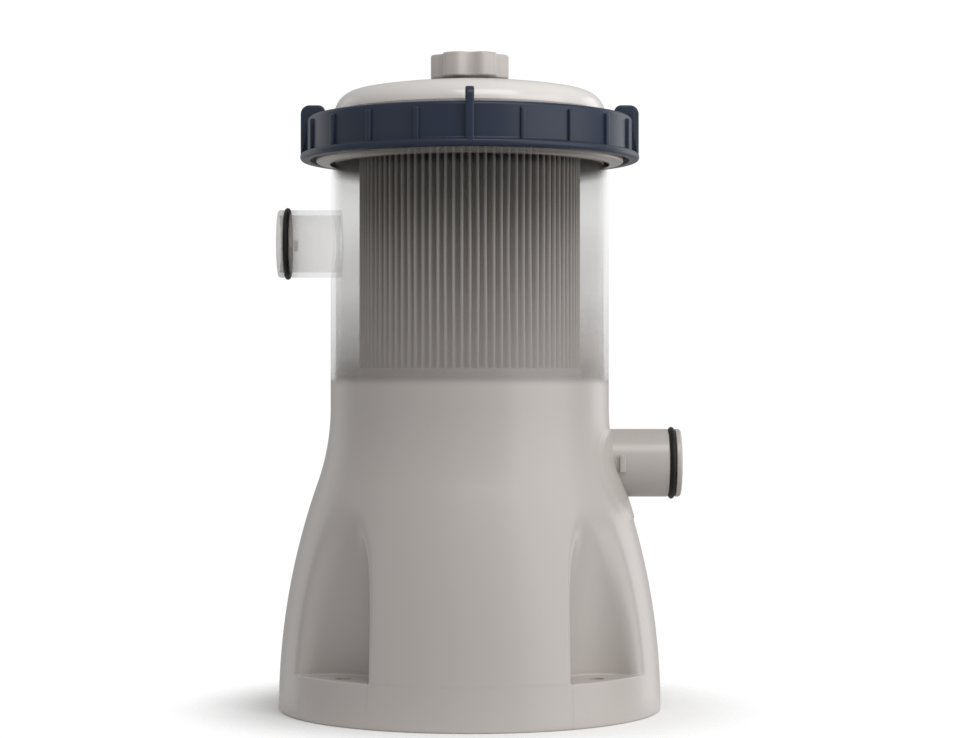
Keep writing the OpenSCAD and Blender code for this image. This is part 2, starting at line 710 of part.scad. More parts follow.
canister();
skirt();
bolt_pockets();
inlet_spigot();
inlet_o_ring();
outlet_spigot();
outlet_o_ring();
pump_chamber();
pump_cover();
cover_seal();
cover_screws();
cartridge_seat();
filter_media();
cartridge_top_cap();
cartridge_bottom_cap();
cartridge_core();
lid();
lid_seal();
locking_collar();
vent_washer();
vent_knob();
impeller();
rotor_magnet();
rotor_shaft();
lower_bearing();
upper_bearing();
stator_core();
coil_bobbins();
windings();
potting();
motor_pot();
motor_screws();
base_plate();
base_screws();
rubber_feet();
cable_gland();
gland_seal();
gland_nut();
gland_locknut();
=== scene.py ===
"""Looks of the pool filter pump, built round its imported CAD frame.

Lengths are millimetres until a mesh is made. Materials, lights and the camera are in metres.
"""

import json
import math

import bmesh
import bpy
import numpy as np
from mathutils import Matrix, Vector


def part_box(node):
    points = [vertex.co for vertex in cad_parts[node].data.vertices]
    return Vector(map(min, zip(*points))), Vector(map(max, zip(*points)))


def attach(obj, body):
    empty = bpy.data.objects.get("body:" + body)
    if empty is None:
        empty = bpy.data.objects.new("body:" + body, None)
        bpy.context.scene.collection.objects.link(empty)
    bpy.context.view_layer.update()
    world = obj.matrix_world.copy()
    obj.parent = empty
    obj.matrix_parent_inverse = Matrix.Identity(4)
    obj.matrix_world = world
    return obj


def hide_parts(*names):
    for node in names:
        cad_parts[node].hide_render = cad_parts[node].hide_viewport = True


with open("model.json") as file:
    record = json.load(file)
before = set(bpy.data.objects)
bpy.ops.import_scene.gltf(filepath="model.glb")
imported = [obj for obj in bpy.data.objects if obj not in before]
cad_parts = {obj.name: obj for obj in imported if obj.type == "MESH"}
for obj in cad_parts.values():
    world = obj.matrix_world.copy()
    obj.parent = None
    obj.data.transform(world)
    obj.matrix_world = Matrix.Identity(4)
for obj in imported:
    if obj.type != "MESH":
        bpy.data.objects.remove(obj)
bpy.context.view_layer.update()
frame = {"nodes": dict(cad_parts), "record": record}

MM = 0.001


def corners(node):
    """Lowest and highest corner of a CAD node, in millimetres."""
    low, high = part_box(node)
    return np.array(low) / MM, np.array(high) / MM


# ---------------------------------------------------------------- driving dimensions, from the frame

_, CANISTER_HIGH = corners("canister")
_, SKIRT_HIGH = corners("skirt")
COLLAR_LOW, COLLAR_HIGH = corners("locking_collar")
LID_LOW, LID_HIGH = corners("lid")
KNOB_LOW, KNOB_HIGH = corners("vent_knob")
INLET_LOW, INLET_HIGH = corners("inlet_spigot")
OUTLET_LOW, OUTLET_HIGH = corners("outlet_spigot")
INLET_RING_LOW, INLET_RING_HIGH = corners("inlet_o_ring")
OUTLET_RING_LOW, OUTLET_RING_HIGH = corners("outlet_o_ring")
MEDIA_LOW, MEDIA_HIGH = corners("filter_media")
CAP_LOW, CAP_HIGH = corners("cartridge_bottom_cap")
TOP_CAP_LOW, TOP_CAP_HIGH = corners("cartridge_top_cap")

BASE_R = SKIRT_HIGH[0]
NECK_TOP = CANISTER_HIGH[2]
CANISTER_R = 65.7
WALL = 2.5
INNER_R = CANISTER_R - WALL
SKIRT_CURVE = 319.0
WAIST_CURVE = 106.0
FLOOR_Z = 143.4
FLOOR_T = 3.0
CHAMBER_R = 28.0

LEDGE_Z = 20.2
RECESS_TOP_Z = 112.0
RECESS_R = 22.5
RECESS_CENTRE = 90.0
RECESS_LEAN = math.tan(math.radians(6.6))
BOLT_R = 80.5
BOLT_HOLE_R = 3.8
BOSS_R = 5.6
QUARTERS = [math.pi / 4 + k * math.pi / 2 for k in range(4)]

PORT_R = 16.0
BORE_R = 13.5
INLET_Z = (INLET_LOW[2] + INLET_HIGH[2]) / 2
OUTLET_Z = (OUTLET_LOW[2] + OUTLET_HIGH[2]) / 2
PORT_HOLE_R = 14.9
PAD_BAND = (80.0, 140.0)

THREAD_STARTS = 4
THREAD_HEIGHT, THREAD_SPAN, THREAD_LEAD = 2.4, 40, 24
VENT_SPAN, VENT_LEAD = 110, 3

SKIRT_CX = BASE_R - SKIRT_CURVE
WAIST_CX = CANISTER_R + WAIST_CURVE
WAIST_Z = math.sqrt((SKIRT_CURVE + WAIST_CURVE) ** 2 - (WAIST_CX - SKIRT_CX) ** 2)
MEET_Z = WAIST_Z * SKIRT_CURVE / (SKIRT_CURVE + WAIST_CURVE)


# ---------------------------------------------------------------- mesh helpers

def add_object(name, data):
    thing = bpy.data.objects.new(name, data)
    bpy.context.scene.collection.objects.link(thing)
    return thing


def new_piece(name, verts, faces, body, nodes, slot, material, smooth_deg=40):
    """A smooth-shaded mesh from millimetre points, riding on a body.

    It stands for the named CAD node, or for several.
    """
    mesh = bpy.data.meshes.new(name)
    mesh.from_pydata((np.asarray(verts, float) * MM).tolist(), [], faces)
    mesh.validate()
    mesh.update()
    piece = add_object(name, mesh)
    tidy_normals(piece)
    mesh.polygons.foreach_set("use_smooth", [True] * len(mesh.polygons))
    mark_sharp(mesh, smooth_deg)
    mesh.materials.append(material)
    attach(piece, body)
    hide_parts(*([nodes] if isinstance(nodes, str) else nodes))
    return piece


def tidy_normals(piece):
    """Turns every face outwards."""
    bm = bmesh.new()
    bm.from_mesh(piece.data)
    bmesh.ops.recalc_face_normals(bm, faces=bm.faces)
    bm.to_mesh(piece.data)
    bm.free()


def mark_sharp(mesh, degrees):
    """Edges that turn by more than this stay crisp."""
    mesh.set_sharp_from_angle(angle=math.radians(degrees))


def arc(centre, radius, start, end, count):
    """Points on an arc, angles in degrees."""
    angles = np.radians(np.linspace(start, end, count))
    return [(centre[0] + radius * math.cos(a), centre[1] + radius * math.sin(a)) for a in angles]


def ring_quads(i, j, count):
    """Quads that join ring i to ring j, with count points to a ring."""
    ahead = [(k + 1) % count for k in range(count)]
    return [(i * count + k, i * count + m, j * count + m, j * count + k) for k, m in enumerate(ahead)]


def ring_cap(i, count, flip=False):
    """One face that closes ring i."""
    loop = tuple(i * count + k for k in range(count))
    return loop[::-1] if flip else loop


def revolve(profile, count=192, axis="z", origin=(0, 0, 0)):
    """Points and quads of a closed profile of (radius, height) turned round an axis through origin."""
    profile = np.asarray(profile, float)
    rows = len(profile)
    angles = np.linspace(0, 2 * math.pi, count, endpoint=False)
    radius = profile[:, 0][:, None]
    height = np.repeat(profile[:, 1][:, None], count, axis=1)
    u, v = radius * np.cos(angles), radius * np.sin(angles)
    order = {"z": (u, v, height), "x": (height, u, v), "-x": (-height, -u, v), "y": (v, height, u)}[axis]
    verts = np.stack(order, -1).reshape(-1, 3) + np.array(origin, float)
    faces = []
    for i in range(rows):
        faces += ring_quads(i, (i + 1) % rows, count)
    return verts, faces


def merge(parts):
    """Joins several (points, faces) pairs into one."""
    verts, faces, offset = [], [], 0
    for part_verts, part_faces in parts:
        verts.append(np.asarray(part_verts, float))
        faces += [tuple(i + offset for i in face) for face in part_faces]
        offset += len(part_verts)
    return np.vstack(verts), faces


def round_corner(a, corner, b, radius, count=6):
    """Points of a fillet between the lines a-corner and corner-b."""
    a, corner, b = (np.asarray(p, float) for p in (a, corner, b))
    to_a = (a - corner) / np.linalg.norm(a - corner)
    to_b = (b - corner) / np.linalg.norm(b - corner)
    half = math.acos(max(-1.0, min(1.0, float(to_a @ to_b)))) / 2
    if half > math.pi / 2 - 0.02:
        return [tuple(corner)]
    reach = radius / math.tan(half)
    limit = 0.45 * min(np.linalg.norm(a - corner), np.linalg.norm(b - corner))
    if reach > limit:
        radius, reach = radius * limit / reach, limit
    middle = (to_a + to_b) / np.linalg.norm(to_a + to_b)
    centre = corner + middle * radius / math.sin(half)
    start, end = corner + to_a * reach - centre, corner + to_b * reach - centre
    turn = math.atan2(start[0] * end[1] - start[1] * end[0], float(start @ end))
    points = []
    for i in range(count):
        t = turn * i / (count - 1)
        points.append(tuple(centre + np.array([start[0] * math.cos(t) - start[1] * math.sin(t),
                                               start[0] * math.sin(t) + start[1] * math.cos(t)])))
    return points


def rounded(points, radius, count=5):
    """A closed outline with its corners rounded. radius is one number, or one for each corner."""
    radii = [radius] * len(points) if np.isscalar(radius) else radius
    result = []
    for i, corner in enumerate(points):
        if radii[i] <= 0:
            result.append(tuple(corner))
        else:
            result += round_corner(points[i - 1], corner, points[(i + 1) % len(points)], radii[i], count)
    return result


def prism(outline, low, high, place, bevel=0.4):
    """A plate with bevelled faces: outline in its own plane, low to high along its normal.

    place maps (u, v, w), where w runs along the normal, to a point.
    """
    outline = np.asarray(outline, float)
    ahead, behind = np.roll(outline, -1, 0) - outline, outline - np.roll(outline, 1, 0)
    normal = np.stack([(ahead + behind)[:, 1], -(ahead + behind)[:, 0]], -1)
    normal /= np.maximum(np.linalg.norm(normal, axis=1, keepdims=True), 1e-9)
    x, y = outline[:, 0], outline[:, 1]
    area = np.sum(x * np.roll(y, -1) - np.roll(x, -1) * y)
    normal *= -1 if area > 0 else 1
    levels = []
    steps = 4
    for i in range(steps):
        a = math.pi / 2 * i / (steps - 1)
        levels.append((bevel * (1 - math.sin(a)), low + bevel * (1 - math.cos(a))))
    levels += [(inset, high + low - w) for inset, w in reversed(levels)]
    count = len(outline)
    verts = []
    for inset, w in levels:
        for u, v in outline + normal * inset:
            verts.append(place(u, v, w))
    faces = [ring_cap(0, count, flip=True)]
    for i in range(len(levels) - 1):
        faces += ring_quads(i, i + 1, count)
    faces.append(ring_cap(len(levels) - 1, count))
    return np.array(verts), faces


def turned(verts, degrees):
    """Points turned round the pump's axis."""
    a = math.radians(degrees)
    verts = np.asarray(verts, float)
    spin = np.array([[math.cos(a), math.sin(a), 0], [-math.sin(a), math.cos(a), 0], [0, 0, 1]])
    return verts @ spin


def smooth_step(x, low, high):
    t = np.clip((x - low) / (high - low), 0, 1)
    return t * t * (3 - 2 * t)


def soft_max(first, second, blend):
    """The greater of two distances, rounded off where they come within blend of each other."""
    gap = np.clip(blend - np.abs(first - second), 0, None) / blend
    return np.maximum(first, second) + gap**2 * blend / 4


def surface_radius(distance, low, high, steps):
    """Radius between low and high where distance, negative inside the solid, turns positive."""
    for _ in range(steps):
        r = (low + high) / 2
        solid = distance(r) < 0
        low, high = np.where(solid, r, low), np.where(solid, high, r)
    return (low + high) / 2


def thread_segment(inner, outer, height, span, lead, middle_z, middle_deg, crest=0.35):
    """A piece of screw thread that swells out of the wall, so both its ends fade away."""
    steps = 40
    section = [(0, -height / 2), (1 - crest, -height / 2 * 0.8), (1, -height / 2 * 0.45),
               (1, height / 2 * 0.45), (1 - crest, height / 2 * 0.8), (0, height / 2)]
    verts, faces = [], []
    for i in range(steps + 1):
        t = i / steps - 0.5
        swell = float(smooth_step(0.5 - abs(t), 0, 0.08))
        a = math.radians(middle_deg + t * span)
        z = middle_z + lead * t * span / 360
        for depth, dz in section:
            r = inner + (outer - inner) * depth * (0.15 + 0.85 * swell)
            verts.append((r * math.cos(a), r * math.sin(a), z + dz * (0.6 + 0.4 * swell)))
    n = len(section)
    for i in range(steps):
        faces += ring_quads(i, i + 1, n)
    faces.append(ring_cap(0, n))
    faces.append(ring_cap(steps, n, flip=True))
    return np.array(verts), faces


# ---------------------------------------------------------------- materials

def shader(name):
    """A bare Principled material: the material, its tree, its surface node and object coordinates."""
    material = bpy.data.materials.new(name)
    material.use_nodes = True
    tree = material.node_tree
    tree.nodes.clear()
    out = tree.nodes.new("ShaderNodeOutputMaterial")
    surface = tree.nodes.new("ShaderNodeBsdfPrincipled")
    tree.links.new(surface.outputs["BSDF"], out.inputs["Surface"])
    coords = tree.nodes.new("ShaderNodeTexCoord").outputs["Object"]
    return material, tree, surface, coords


def noise_node(tree, coords, scale, detail=2.0, roughness=0.5):
    node = tree.nodes.new("ShaderNodeTexNoise")
    node.inputs["Scale"].default_value = scale
    node.inputs["Detail"].default_value = detail
    node.inputs["Roughness"].default_value = roughness
    tree.links.new(coords, node.inputs["Vector"])
    return node.outputs["Fac"]


def math_node(tree, operation, first, second):
    node = tree.nodes.new("ShaderNodeMath")
    node.operation = operation
    tree.links.new(first, node.inputs[0])
    tree.links.new(second, node.inputs[1])
    return node.outputs[0]


def length_of(tree, vector):
    node = tree.nodes.new("ShaderNodeVectorMath")
    node.operation = "LENGTH"
    tree.links.new(vector, node.inputs[0])
    return node.outputs["Value"]


def stretched(tree, coords, scale, turn=(0, 0, 0)):
    """Coordinates scaled and turned, so that a noise on them is drawn out into lines."""
    node = tree.nodes.new("ShaderNodeMapping")
    node.inputs["Scale"].default_value = scale
    node.inputs["Rotation"].default_value = turn
    tree.links.new(coords, node.inputs["Vector"])
    return node.outputs["Vector"]


def map_range(tree, value, from_low, from_high, to_low, to_high, smooth=False):
    node = tree.nodes.new("ShaderNodeMapRange")
    node.interpolation_type = "SMOOTHSTEP" if smooth else "LINEAR"
    node.inputs["From Min"].default_value = from_low
    node.inputs["From Max"].default_value = from_high
    node.inputs["To Min"].default_value = to_low
    if isinstance(to_high, (int, float)):
        node.inputs["To Max"].default_value = to_high
    else:
        tree.links.new(to_high, node.inputs["To Max"])
    tree.links.new(value, node.inputs["Value"])
    return node.outputs["Result"]


def mix_colour(tree, factor, first, second):
    node = tree.nodes.new("ShaderNodeMix")
    node.data_type = "RGBA"
    if hasattr(factor, "links"):
        tree.links.new(factor, node.inputs["Factor"])
    else:
        node.inputs["Factor"].default_value = factor
    for socket, value in ((node.inputs["A"], first), (node.inputs["B"], second)):
        if hasattr(value, "links"):
            tree.links.new(value, socket)
        else:
            socket.default_value = (*value, 1)
    return node.outputs["Result"]


def bumped(tree, surface, heights):
    """Stacks bump nodes. heights is a list of (height socket, distance in metres, strength)."""
    normal = None
    for height, distance, strength in heights:
        bump = tree.nodes.new("ShaderNodeBump")
        bump.inputs["Distance"].default_value = distance
        bump.inputs["Strength"].default_value = strength
        tree.links.new(height, bump.inputs["Height"])
        if normal:
            tree.links.new(normal, bump.inputs["Normal"])
        normal = bump.outputs["Normal"]
    tree.links.new(normal, surface.inputs["Normal"])


def moulded_plastic(name, colour, rough, peel=0.12, grain=0.0, vary=0.03, specular=0.5):
    """Moulded plastic: faint orange peel, slight tone drift, and patches of fine scuffs that dull the gloss.

    Gives the material, its tree, its surface node and object coordinates.
    """
    material, tree, surface, coords = shader(name)
    drift = noise_node(tree, coords, 9, 1)
    dark = [c * (1 - vary) for c in colour]
    light = [min(1, c * (1 + vary)) for c in colour]
    tree.links.new(mix_colour(tree, drift, dark, light), surface.inputs["Base Color"])
    scuffs = noise_node(tree, stretched(tree, coords, (1, 1, 0.06), (0.5, 0.3, 0)), 1300, 2, 0.6)
    patches = noise_node(tree, coords, 22, 2)
    dulled = math_node(tree, "MULTIPLY", map_range(tree, scuffs, 0.60, 0.78, 0, 0.14, smooth=True),
                       map_range(tree, patches, 0.45, 0.65, 0, 1, smooth=True))
    plain = map_range(tree, drift, 0.2, 0.8, rough * 0.93, rough * 1.08, smooth=True)
    tree.links.new(math_node(tree, "ADD", plain, dulled), surface.inputs["Roughness"])
    heights = [(noise_node(tree, coords, 160, 0), 0.00006, peel)]
    if grain:
        heights.append((noise_node(tree, coords, 2400, 1, 0.5), 0.00002, grain))
    bumped(tree, surface, heights)
    surface.inputs["Specular IOR Level"].default_value = specular
    return material, tree, surface, coords


def along(tree, coords, axis):
    split = tree.nodes.new("ShaderNodeSeparateXYZ")
    tree.links.new(coords, split.inputs["Vector"])
    return split.outputs[axis]


def alpha_curve(tree, value, stops):
    """Alpha that runs smoothly through (place in metres, alpha) stops along one coordinate."""
    low, high = stops[0][0], stops[-1][0]
    share = map_range(tree, value, low, high, 0, 1)
    ramp = tree.nodes.new("ShaderNodeValToRGB")
    ramp.color_ramp.interpolation = "CARDINAL"
    elements = ramp.color_ramp.elements
    while len(elements) < len(stops):
        elements.new(0.5)
    for element, (place, alpha) in zip(elements, stops):
        element.position = (place - low) / (high - low)
        element.color = (alpha, alpha, alpha, 1)
    tree.links.new(share, ramp.inputs["Fac"])
    return ramp.outputs["Color"]


HOUSING_COLOUR = (0.43, 0.398, 0.375)
KNOB_COLOUR = (0.44, 0.41, 0.39)


def make_housing_material():
    """Solid grey at the skirt, thinning to near-clear plastic up the front of the canister.

    The back of the canister stays milky, and the neck and its flange are solid.
    """
    material, tree, surface, coords = moulded_plastic("housing_plastic", HOUSING_COLOUR, 0.32)
    height, depth = along(tree, coords, "Z"), along(tree, coords, "Y")
    front = alpha_curve(tree, height, [(0.134, 1.0), (0.1525, 0.97), (0.1555, 0.44), (0.172, 0.29), (0.193, 0.18),
                                       (0.220, 0.085), (0.250, 0.05), (0.2592, 0.12), (0.2612, 1.0)])
    haze = alpha_curve(tree, height, [(0.150, 1.0), (0.165, 0.58), (0.19, 0.32), (0.21, 0.27), (0.25, 0.28),
                                      (0.257, 0.95), (0.2592, 1.0)])
    back = map_range(tree, depth, 0.0, 0.02, 0, haze, smooth=True)
    flange_haze = map_range(tree, depth, -0.066, -0.035, 0.25, 1, smooth=True)
    flange = map_range(tree, height, 0.2558, 0.2566, 0, flange_haze)
    alpha = math_node(tree, "MAXIMUM", math_node(tree, "MAXIMUM", front, back), flange)
    tree.links.new(alpha, surface.inputs["Alpha"])
    return material


def make_inlet_material():
    """The inlet is see-through where it joins the clear part of the canister."""
    material, tree, surface, coords = moulded_plastic("inlet_plastic", HOUSING_COLOUR, 0.28)
    stops = [(-0.0905, 0.40), (-0.086, 0.42), (-0.081, 0.20), (-0.060, 0.10)]
    tree.links.new(alpha_curve(tree, along(tree, coords, "X"), stops), surface.inputs["Alpha"])
    return material


def make_filter_material():
    """Folded non-woven cloth: fibres and blotches of dirt, with painted light: pale valleys painted against their
    shade, painted highlights on the ridges, and painted shade darkening it towards the top.
    """
    material, tree, surface, coords = shader("filter_cloth")
    centred = tree.nodes.new("ShaderNodeVectorMath")
    centred.operation = "MULTIPLY"
    centred.inputs[1].default_value = (1, 1, 0)
    tree.links.new(coords, centred.inputs[0])
    radius = length_of(tree, centred.outputs["Vector"])
    ridge = map_range(tree, radius, 0.0470, 0.0522, 0, 1, smooth=True)
    # painted light: the valleys between the pleats are mixed towards a pale colour to lift the shade that falls in
    # them
    valley_painted_light = map_range(tree, radius, 0.0340, 0.0500, 1, 0, smooth=True)
    # painted shade: the cloth is darker towards the top, under the collar, and lighter lower down
    painted_light_by_height = map_range(tree, along(tree, coords, "Z"), 0.156, 0.24, 0.9, 0.35)
    # painted highlight: the outer edges of the pleats are made lighter, more strongly lower down
    ridge_painted_highlight = math_node(tree, "MULTIPLY", map_range(tree, ridge, 0.72, 1, 0, 1), painted_light_by_height)
    fibres = noise_node(tree, coords, 1500, 4, 0.7)
    blotch = noise_node(tree, coords, 30, 3)
    cloth = mix_colour(tree, blotch, (0.040, 0.035, 0.030), (0.062, 0.055, 0.048))
    cloth = mix_colour(tree, map_range(tree, fibres, 0.35, 0.75, 0, 0.35), cloth, (0.12, 0.108, 0.095))
    cloth = mix_colour(tree, map_range(tree, painted_light_by_height, 0.35, 0.9, 0, 0.75), cloth, (0.26, 0.24, 0.22))
    cloth = mix_colour(tree, valley_painted_light, cloth, (0.62, 0.58, 0.54))
    cloth = mix_colour(tree, ridge_painted_highlight, cloth, (0.36, 0.335, 0.31))
    tree.links.new(cloth, surface.inputs["Base Color"])
    surface.inputs["Roughness"].default_value = 0.85
    surface.inputs["Sheen Weight"].default_value = 0.15
    bumped(tree, surface, [(fibres, 0.00015, 0.5), (blotch, 0.0004, 0.2)])
    return material


def make_rubber():
    """Black rubber with a faint bloom."""
    material, tree, surface, coords = shader("rubber")
    bloom = noise_node(tree, coords, 90, 4, 0.65)
    tree.links.new(mix_colour(tree, bloom, (0.005, 0.0045, 0.004), (0.014, 0.013, 0.012)),
                   surface.inputs["Base Color"])
    tree.links.new(map_range(tree, bloom, 0.3, 0.7, 0.42, 0.55), surface.inputs["Roughness"])
    surface.inputs["Specular IOR Level"].default_value = 0.25
    bumped(tree, surface, [(noise_node(tree, coords, 1800, 2), 0.00005, 0.3)])
    return material


def make_metal(name, colour, rough, stretch=(1, 1, 1)):
    """Bright metal with fine turning or rolling lines."""
    material, tree, surface, coords = shader(name)
    lines = noise_node(tree, stretched(tree, coords, stretch), 1400, 3, 0.7)
    tree.links.new(mix_colour(tree, lines, [c * 0.82 for c in colour], colour), surface.inputs["Base Color"])
    tree.links.new(map_range(tree, lines, 0.3, 0.7, rough * 0.8, rough * 1.3), surface.inputs["Roughness"])
    surface.inputs["Metallic"].default_value = 1.0
    bumped(tree, surface, [(lines, 0.00003, 0.4)])
    return material


def make_copper_wire():
    """Layers of enamelled wire: a fine rib across the coil's height."""
    material, tree, surface, coords = shader("copper_wire")
    wave = tree.nodes.new("ShaderNodeTexWave")
    wave.bands_direction = "Z"
    wave.inputs["Scale"].default_value = 420
    wave.inputs["Distortion"].default_value = 1.5
    wave.inputs["Detail"].default_value = 2
    tree.links.new(coords, wave.inputs["Vector"])
    tree.links.new(mix_colour(tree, wave.outputs["Fac"], (0.22, 0.06, 0.02), (0.60, 0.22, 0.09)),
                   surface.inputs["Base Color"])
    surface.inputs["Metallic"].default_value = 0.8
    surface.inputs["Roughness"].default_value = 0.35
    bumped(tree, surface, [(wave.outputs["Fac"], 0.0002, 0.8)])
    return material


PLASTICS = {
    "outlet_plastic": dict(colour=HOUSING_COLOUR, rough=0.28),
    "lid_plastic": dict(colour=(0.66, 0.63, 0.605), rough=0.2, peel=0.08, vary=0.02),
    "collar_plastic": dict(colour=(0.018, 0.026, 0.047), rough=0.36, grain=0.15, specular=0.28),
    "knob_plastic": dict(colour=KNOB_COLOUR, rough=0.36, grain=0.2),
    "inner_plastic": dict(colour=(0.40, 0.385, 0.37), rough=0.45, grain=0.3),
    "cap_plastic": dict(colour=(0.30, 0.285, 0.265), rough=0.5, grain=0.4, vary=0.08),
    "core_plastic": dict(colour=(0.55, 0.54, 0.52), rough=0.4, grain=0.2),
    "impeller_plastic": dict(colour=(0.05, 0.052, 0.058), rough=0.4, grain=0.5),
    "bobbin_plastic": dict(colour=(0.72, 0.68, 0.55), rough=0.45, grain=0.3),
    "black_plastic": dict(colour=(0.018, 0.018, 0.020), rough=0.42, grain=0.5),
    "base_plastic": dict(colour=(0.33, 0.315, 0.30), rough=0.48, grain=0.5),
    "epoxy": dict(colour=(0.015, 0.015, 0.017), rough=0.22, peel=0.5),
    "ceramic": dict(colour=(0.80, 0.78, 0.72), rough=0.15, peel=0.05, vary=0.01),
    "ferrite": dict(colour=(0.035, 0.034, 0.036), rough=0.55, grain=0.8, vary=0.12),
}
MATERIALS = {
    "housing_plastic": make_housing_material(),
    "inlet_plastic": make_inlet_material(),
    **{name: moulded_plastic(name, **look)[0] for name, look in PLASTICS.items()},
    "filter_fabric": make_filter_material(),
    "rubber": make_rubber(),
    "steel": make_metal("steel", (0.62, 0.62, 0.64), 0.3),
    "lamination_steel": make_metal("lamination_steel", (0.36, 0.36, 0.38), 0.45, stretch=(0.05, 3, 0.05)),
    "copper": make_copper_wire(),
}


# ---------------------------------------------------------------- housing

def skirt_radius(z):
    """Radius of the plain body at height z: two arcs that touch, then the straight canister."""
    z = np.asarray(z, float)
    skirt = SKIRT_CX + np.sqrt(SKIRT_CURVE**2 - np.clip(z, 0, MEET_Z) ** 2)
    waist = WAIST_CX - np.sqrt(WAIST_CURVE**2 - (np.clip(z, MEET_Z, WAIST_Z) - WAIST_Z) ** 2)
    return np.where(z <= MEET_Z, skirt, waist)


def skirt_slope(z):
    step = 0.05
    return (skirt_radius(z + step) - skirt_radius(z - step)) / (2 * step)


def recess_depth_radius(from_centre, z, blend):
    """Radius of the surface at an angle from a recess's middle: the body with the leaning recess cut in."""
    body = skirt_radius(z)
    lean = 1 / math.sqrt(1 + RECESS_LEAN**2)
    slope = 1 / np.sqrt(1 + skirt_slope(z) ** 2)
    middle = RECESS_CENTRE + (z - LEDGE_Z) * RECESS_LEAN

    def distance(r):
        outside_body = (r - body) * slope
        x, y = r * np.cos(from_centre), r * np.sin(from_centre)
        outside_recess = np.sqrt(((x - middle) * lean) ** 2 + y**2) - RECESS_R
        return soft_max(outside_body, -outside_recess, blend)

    return surface_radius(distance, np.full_like(body, 50.0), body + 3, 34)


def pad_height(y, z, side):
    """How far the low pad round the outlet stands out: a rounded shape 70 mm wide and 42 mm high."""
    half_h, half_w, proud, below_outlet = 21.0, 35.0, 0.8, 5
    across = np.clip(np.abs(y) - (half_w - half_h), 0, None)
    edge = np.sqrt(across**2 + (z - (OUTLET_Z - below_outlet)) ** 2) - half_h
    return proud * (1 - smooth_step(edge, -0.7, 0.4)) * side


def housing_columns():
    """Column numbers: for each quarter, places inside a recess (-1 to 1) and outside it (0 to 1)."""
    inside_n, outside_n = 52, 54
    inside = np.linspace(-1, 1, inside_n + 1)
    inside = np.sign(inside) * (1 - (1 - np.abs(inside)) ** 1.7)
    outside = np.linspace(0, 1, outside_n + 1)[1:-1]
    outside = np.where(outside < 0.5, 0.5 * (2 * outside) ** 1.5, 1 - 0.5 * (2 - 2 * outside) ** 1.5)
    return inside, outside


def housing_angles(z):
    """Angle of each column at height z: the columns crowd along the edges of the recesses."""
    inside, outside = housing_columns()
    z_in = np.clip(z, LEDGE_Z, None)
    middle = RECESS_CENTRE + (z_in - LEDGE_Z) * RECESS_LEAN
    body = skirt_radius(z_in)
    cos_edge = (middle**2 + RECESS_R**2 - body**2) / (2 * middle * RECESS_R)
    least_edge = 0.14
    edge = np.arccos(np.clip(cos_edge, -1, 1))
    t = np.sqrt(edge**2 + least_edge**2) * inside
    local = np.arctan2(RECESS_R * np.sin(t), middle - RECESS_R * np.cos(t))
    spread = float(smooth_step(z, 100, 150))
    even = np.radians(20) * inside
    local = local * (1 - spread) + even * spread
    half = local[-1]
    rest = half + (math.pi / 2 - 2 * half) * outside
    angles = []
    for quarter in QUARTERS:
        angles += [quarter + local, quarter + rest]
    return np.concatenate(angles)


def recess_offset(angles):
    """Angle from the middle of the nearest recess."""
    return angles % (math.pi / 2) - math.pi / 4


def outer_row(z, ledge=LEDGE_Z):
    """Angles and radii of the outside surface at height z. The recess rims are softer towards the sides."""
    angles = housing_angles(z)
    radius = np.full_like(angles, float(skirt_radius(z)))
    if ledge < z < RECESS_TOP_Z:
        sideways = np.abs(np.cos(angles)) - np.abs(np.sin(angles))
        blend = 2.2 + 5.0 * smooth_step(sideways, 0.0, 0.3)
        radius = recess_depth_radius(recess_offset(angles), np.full_like(angles, z), blend)
    if PAD_BAND[0] < z < PAD_BAND[1]:
        side = (np.cos(angles) > 0.4).astype(float)
        radius = radius + pad_height(radius * np.sin(angles), z, side)
    return angles, radius


